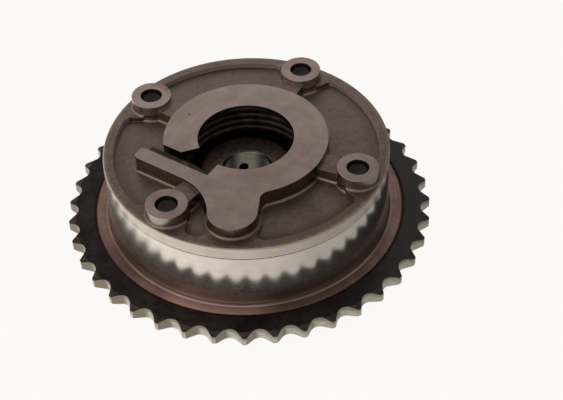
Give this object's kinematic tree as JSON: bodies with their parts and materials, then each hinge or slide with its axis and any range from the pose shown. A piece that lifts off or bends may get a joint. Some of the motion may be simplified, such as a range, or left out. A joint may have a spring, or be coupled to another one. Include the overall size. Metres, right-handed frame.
{
  "type": "cam phaser",
  "caption": "Vane-type cam phaser: toothed chain housing with a vaned rotor, lock pin and bias spring inside, closed by a sintered front cover and a rear plate.",
  "frame": {"origin": "On the turning axis, in the plane of the bolt heads on which the part stands.", "axes": "+Z runs along the turning axis from the camshaft side to the front cover. +X points right and +Y away from the viewer as seen in the picture."},
  "size_m": [0.102, 0.102, 0.0318],
  "materials": {
    "housing_steel": "hardened steel, heat-darkened brown-black toothed ring, satin turned wall",
    "plate_steel": "ground steel",
    "cover_sintered": "sintered steel, brown grainy pockets and finely machined tops",
    "rotor_sintered": "sintered steel, dark, finely machined faces",
    "spring_steel": "dark oil-tempered spring wire",
    "bolt_black": "black phosphated steel",
    "pin_steel": "ground hardened steel",
    "spring_bright": "bright spring steel",
    "seal_polymer": "dark moulded polymer"
  },
  "bodies": {
    "housing": {"sprocket_housing": "housing_steel", "rear_plate": "plate_steel", "front_cover": "cover_sintered", "housing_bolts": "bolt_black", "lock_bush": "pin_steel", "bias_spring": "spring_steel", "shoe_seal_1": "seal_polymer", "shoe_seal_2": "seal_polymer", "shoe_seal_3": "seal_polymer", "shoe_seal_4": "seal_polymer", "shoe_seal_spring_1": "spring_bright", "shoe_seal_spring_2": "spring_bright", "shoe_seal_spring_3": "spring_bright", "shoe_seal_spring_4": "spring_bright"},
    "rotor": {"rotor": "rotor_sintered", "vane_seal_1": "seal_polymer", "vane_seal_2": "seal_polymer", "vane_seal_3": "seal_polymer", "vane_seal_4": "seal_polymer", "vane_seal_spring_1": "spring_bright", "vane_seal_spring_2": "spring_bright", "vane_seal_spring_3": "spring_bright", "vane_seal_spring_4": "spring_bright", "lock_spring": "spring_bright", "lock_spring_seat": "plate_steel"},
    "lock_pin": {"lock_pin": "pin_steel"}
  },
  "joints": [
    {"name": "rotor_turn", "type": "hinge", "parent": "housing", "child": "rotor", "pos_m": [0, 0, 0], "axis": [0, 0, 1], "range_deg": [0, 29], "stiffness_Nm_per_rad": 0.6, "springref_deg": -34.38, "deforming": ["bias_spring"]},
    {"name": "lock_pin_slide", "type": "slide", "parent": "rotor", "child": "lock_pin", "axis": [0, 0, 1], "range_m": [-0.001, 0], "stiffness_N_per_m": 150, "springref_m": 0.004, "deforming": ["lock_spring"]}
  ]
}
